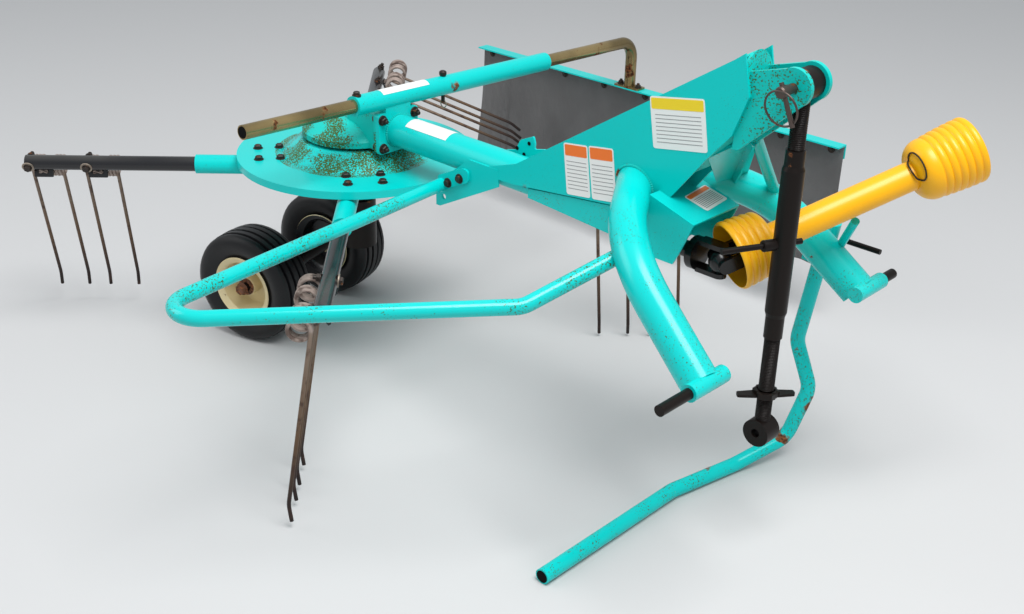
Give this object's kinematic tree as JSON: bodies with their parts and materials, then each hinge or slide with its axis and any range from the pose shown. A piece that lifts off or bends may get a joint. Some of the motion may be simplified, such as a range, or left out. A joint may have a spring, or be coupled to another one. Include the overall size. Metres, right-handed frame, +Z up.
{
  "type": "rotary rake",
  "caption": "Tractor-mounted rotary rake: a gear-driven disc with tined arms, swath curtain on a side boom, castoring twin wheels, three-point hitch, guarded drive shaft and parking stand.",
  "frame": {"origin": "on the floor, straight under the rotor's axis", "axes": "+X forward, towards the tractor; +Y left, the side of the swath curtain; +Z up"},
  "size_m": [2.2602, 1.8937, 1.05],
  "materials": {
    "teal_paint": "gloss teal enamel with rust and dirt",
    "black_paint": "black enamel, worn",
    "spring_steel": "rusty spring wire",
    "tyre": "ribbed black rubber",
    "cream_paint": "cream enamel, rusty at the hub",
    "zinc_tube": "yellow zinc with rust",
    "canvas": "dark grey coated canvas",
    "yellow_plastic": "yellow moulded plastic",
    "dark_steel": "black-brown forged steel, greasy",
    "pin_steel": "bare steel, dull"
  },
  "bodies": {
    "frame": {"column": "teal_paint", "gearbox": "teal_paint", "main_beam": "teal_paint", "headstock_left": "teal_paint", "headstock_right": "teal_paint", "headstock_cover": "teal_paint", "top_link_lugs": "teal_paint", "top_link_pin": "pin_steel", "hitch_arm_left": "teal_paint", "hitch_arm_right": "teal_paint", "hitch_pin_left": "pin_steel", "hitch_pin_right": "pin_steel", "shaft_trough": "teal_paint", "drive_hood": "teal_paint", "drive_stub": "dark_steel", "boom_sleeve": "teal_paint", "side_guard": "teal_paint", "guard_bracket": "teal_paint", "stand_sleeve": "teal_paint"},
    "rotor": {"rotor_disc": "teal_paint", "arm_sockets": "teal_paint"},
    "arm_front": {"tine_arm_front": "black_paint", "tines_front": "spring_steel"},
    "arm_left": {"tine_arm_left": "black_paint", "tines_left": "spring_steel"},
    "arm_rear": {"tine_arm_rear": "black_paint", "tines_rear": "spring_steel"},
    "arm_right": {"tine_arm_right": "black_paint", "tines_right": "spring_steel"},
    "castor": {"castor_frame": "teal_paint"},
    "wheel_left": {"tyre_left": "tyre", "rim_left": "cream_paint"},
    "wheel_right": {"tyre_right": "tyre", "rim_right": "cream_paint"},
    "curtain": {"boom": "zinc_tube", "curtain_rail": "teal_paint", "curtain_canvas": "canvas"},
    "stand": {"stand_tube": "teal_paint"},
    "top_link": {"link_upper_eye": "dark_steel", "link_barrel": "dark_steel", "link_lower_eye": "dark_steel"},
    "drive_shaft": {"shaft_inner_guard": "yellow_plastic", "shaft_core": "dark_steel"},
    "drive_shaft_outer": {"shaft_outer_guard": "yellow_plastic", "tractor_yoke": "dark_steel"}
  },
  "joints": [
    {"name": "rotor_spin", "type": "hinge", "parent": "frame", "child": "rotor", "pos_m": [0, 0, 0.55], "axis": [0, 0, 1], "continuous": true},
    {"name": "arm_front_roll", "type": "hinge", "parent": "rotor", "child": "arm_front", "pos_m": [0.28284, 0.28284, 0.505], "axis": [-0.7071, -0.7071, 0], "range_deg": [-2, 71]},
    {"name": "arm_left_roll", "type": "hinge", "parent": "rotor", "child": "arm_left", "pos_m": [-0.28284, 0.28284, 0.505], "axis": [0.7071, -0.7071, 0], "range_deg": [-71, 2]},
    {"name": "arm_rear_roll", "type": "hinge", "parent": "rotor", "child": "arm_rear", "pos_m": [-0.28284, -0.28284, 0.505], "axis": [0.7071, 0.7071, 0], "range_deg": [-30, 43]},
    {"name": "arm_right_roll", "type": "hinge", "parent": "rotor", "child": "arm_right", "pos_m": [0.28284, -0.28284, 0.505], "axis": [-0.7071, 0.7071, 0], "range_deg": [-14, 59]},
    {"name": "castor_swivel", "type": "hinge", "parent": "frame", "child": "castor", "pos_m": [0, 0, 0.35], "axis": [0, 0, 1], "range_deg": [-44.4, 15.6]},
    {"name": "wheel_left_spin", "type": "hinge", "parent": "castor", "child": "wheel_left", "pos_m": [-0.31595, 0.15892, 0.1545], "axis": [-0.2487, 0.9686, 0], "continuous": true},
    {"name": "wheel_right_spin", "type": "hinge", "parent": "castor", "child": "wheel_right", "pos_m": [-0.22816, -0.18299, 0.1545], "axis": [-0.2487, 0.9686, 0], "continuous": true},
    {"name": "boom_slide", "type": "slide", "parent": "frame", "child": "curtain", "axis": [-0.0331, 0.9986, -0.0419], "range_m": [0, 0.4]},
    {"name": "stand_slide", "type": "slide", "parent": "frame", "child": "stand", "axis": [0.1448, 0, 0.9895], "range_m": [0, 0.2]},
    {"name": "top_link_swing", "type": "hinge", "parent": "frame", "child": "top_link", "pos_m": [1.275, 0, 1.006], "axis": [0, -1, 0], "range_deg": [-1, 95]},
    {"name": "drive_lift", "type": "hinge", "parent": "frame", "child": "drive_shaft", "pos_m": [1.135, 0, 0.608], "axis": [0.8329, -0.5534, 0], "range_deg": [0, 10]},
    {"name": "drive_telescope", "type": "slide", "parent": "drive_shaft", "child": "drive_shaft_outer", "axis": [0.5142, 0.7739, 0.3697], "range_m": [0, 0.15]}
  ]
}
